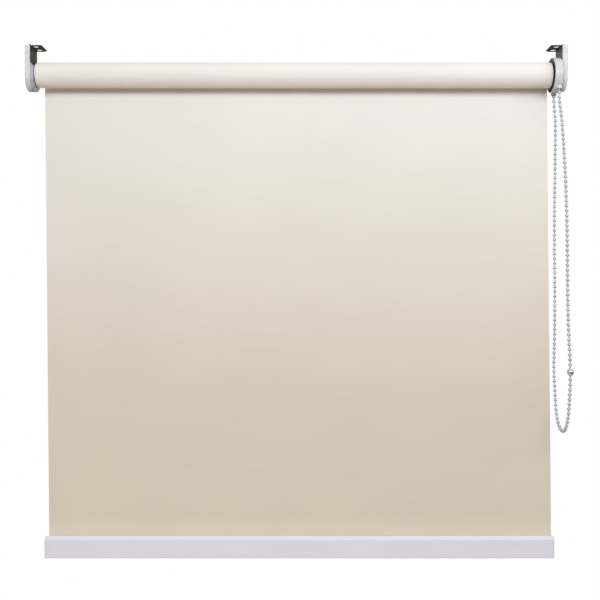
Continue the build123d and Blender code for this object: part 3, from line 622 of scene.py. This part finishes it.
def powder_coat_finish(name, colour, roughness):
    """White powder coat on extruded aluminium: slight orange peel and long die lines."""
    made = Finish(name, colour, roughness, Coat_Weight=0.2, Coat_Roughness=0.22)
    worn = made.soften(0.5 * MM)
    lines = made.noise((3, 900, 900), detail=3.0)
    clouds = made.noise((14, 40, 40), detail=3.0)
    both = made.weighted((lines, 0.4), (clouds, 0.6))
    body = made.mixed(made.spread(both, *NOISE_CORE), scaled(colour, 0.975), scaled(colour, 1.02))
    made.paint(made.mixed(made.times(worn, 0.3), body, scaled(colour, 1.12)))
    made.gloss(made.spread(clouds, *NOISE_WIDE, roughness - 0.05, roughness + 0.07))
    peel = made.noise((900, 900, 900), detail=2.0)
    made.relief(lines, depth=0.02 * MM, strength=0.3)
    made.relief(peel, depth=0.01 * MM, strength=0.35)
    return made.material


def tape_finish():
    """Clear-backed tape with trapped bubbles."""
    stuck, lifted = (0.62, 0.60, 0.52), (0.72, 0.71, 0.66)
    made = Finish("fixing_tape", stuck, 0.35)
    bubbles = made.noise((400, 400, 400), detail=2.0)
    made.paint(made.mixed(made.spread(bubbles, 0.55, 0.7), stuck, lifted))
    made.relief(bubbles, depth=0.03 * MM, strength=0.4)
    return made.material


FINISHES = {
    "blind_fabric": cloth_finish(),
    "bar_white": powder_coat_finish("bar_white", (0.825, 0.805, 0.895), 0.34),
    "cap_white": moulded_finish("cap_white", (0.80, 0.79, 0.83), 0.40),
    "cover_plastic": moulded_finish("cover_plastic", (0.65, 0.63, 0.61), 0.42),
    # painted shade: a darker copy of the cover's plastic for the pin socket
    "shaded_cover_plastic": moulded_finish("shaded_cover_plastic", (0.42, 0.41, 0.44), 0.42),
    # painted shade darkens the housing where it meets its cover
    "housing_plastic": moulded_finish(
        "housing_plastic", (0.65, 0.63, 0.61), 0.38, shade_seam=(0.3276, 0.3284)),
    # painted shade: the guard is made near-black so it reads as the shadowed gap between the
    # roll's end and the housing ring
    "guard_plastic": moulded_finish("guard_plastic", (0.022, 0.021, 0.022), 0.50),
    "drive_plastic": moulded_finish("drive_plastic", (0.55, 0.55, 0.54), 0.40),
    "chain_plastic": moulded_finish(
        "chain_plastic", (0.57, 0.58, 0.61), 0.22, grain_mm=0.5, edge=0.2 * MM,
        Metallic=0.35, Coat_Weight=0.5, Coat_Roughness=0.12),
    "rod_plastic": moulded_finish("rod_plastic", (0.72, 0.72, 0.70), 0.35),
    "bracket_steel": zinc_finish("bracket_steel", (0.030, 0.028, 0.029), (0.085, 0.080, 0.081)),
    "bright_steel": brushed_finish("bright_steel", (0.62, 0.61, 0.60), 0.26, "X"),
    "spring_steel": brushed_finish("spring_steel", (0.42, 0.41, 0.40), 0.30, "X"),
    "tube_aluminium": brushed_finish("tube_aluminium", (0.72, 0.72, 0.73), 0.33, "X"),
    "ball_metal": brushed_finish("ball_metal", (0.64, 0.67, 0.72), 0.30, "Z", edge=0.2 * MM),
    "fixing_tape": tape_finish(),
}

# A new piece says its slot itself, and a CAD node's first material is named after its slot.
for piece in bpy.context.scene.objects:
    if piece.type != "MESH":
        continue
    materials = piece.data.materials
    slot_name = piece.get("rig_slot")
    if slot_name is None and materials and materials[0]:
        slot_name = materials[0].name.split(".")[0]
    if piece.name == "pin_socket":
        slot_name = "shaded_cover_plastic"  # the cover's plastic in a darker copy: painted shade on the socket
    if slot_name in FINISHES:
        if materials:
            materials[0] = FINISHES[slot_name]
        else:
            materials.append(FINISHES[slot_name])


# ---- Floor, lamps and world ---------------------------------------------------------------------
def add_floor():
    """A pale round floor below the blind."""
    points = [(0, 0, FLOOR_Z)]
    faces = []
    for side in range(FLOOR_SIDES):
        angle = math.tau * side / FLOOR_SIDES
        points.append((FLOOR_RADIUS * math.cos(angle), FLOOR_RADIUS * math.sin(angle), FLOOR_Z))
        faces.append((0, 1 + side, 1 + (side + 1) % FLOOR_SIDES))
    floor = mesh_object("floor", points, faces)
    finish = Finish("floor_pale", (0.86, 0.82, 0.76), 0.8)
    finish.paint(finish.grain((0.84, 0.80, 0.74), per_metre=(12, 12, 12)))
    floor.data.materials.append(finish.material)


def add_area_light(name, location, target, width, height, energy, colour):
    """A soft rectangular lamp that faces target and isn't seen itself."""
    data = bpy.data.lights.new(name, "AREA")
    data.shape = "RECTANGLE"
    data.size = width
    data.size_y = height
    data.energy = energy
    data.color = colour
    lamp = add_object(name, data)
    lamp.location = location
    lamp.rotation_mode = "QUATERNION"
    lamp.rotation_quaternion = (Vector(target) - Vector(location)).to_track_quat("-Z", "Y")
    lamp.visible_camera = False


def add_world():
    """A white background, and a softer light that is warm from below and neutral from above."""
    world = bpy.data.worlds.new("world")
    bpy.context.scene.world = world
    world.use_nodes = True
    tree = world.node_tree
    tree.nodes.clear()
    seen = tree.nodes.new("ShaderNodeBackground")
    seen.inputs["Color"].default_value = WORLD_SEEN
    lit = tree.nodes.new("ShaderNodeBackground")
    ramp = tree.nodes.new("ShaderNodeValToRGB")
    ramp.color_ramp.elements[0].color = WORLD_BELOW
    ramp.color_ramp.elements[1].color = WORLD_ABOVE
    parts = tree.nodes.new("ShaderNodeSeparateXYZ")
    # how far up a ray points, which is -1 to 1, becomes a place on the ramp, 0 to 1
    half = tree.nodes.new("ShaderNodeMapRange")
    half.inputs["From Min"].default_value = -1.0
    direction = tree.nodes.new("ShaderNodeTexCoord")
    tree.links.new(direction.outputs["Generated"], parts.inputs[0])
    tree.links.new(parts.outputs["Z"], half.inputs["Value"])
    tree.links.new(half.outputs["Result"], ramp.inputs["Fac"])
    tree.links.new(ramp.outputs["Color"], lit.inputs["Color"])
    rays = tree.nodes.new("ShaderNodeLightPath")
    mix = tree.nodes.new("ShaderNodeMixShader")
    out = tree.nodes.new("ShaderNodeOutputWorld")
    tree.links.new(rays.outputs["Is Camera Ray"], mix.inputs["Fac"])
    tree.links.new(lit.outputs["Background"], mix.inputs[1])
    tree.links.new(seen.outputs["Background"], mix.inputs[2])
    tree.links.new(mix.outputs["Shader"], out.inputs["Surface"])


add_floor()
add_world()
for lamp_values in LAMPS:
    add_area_light(*lamp_values)
bpy.context.scene.view_settings.view_transform = "Standard"
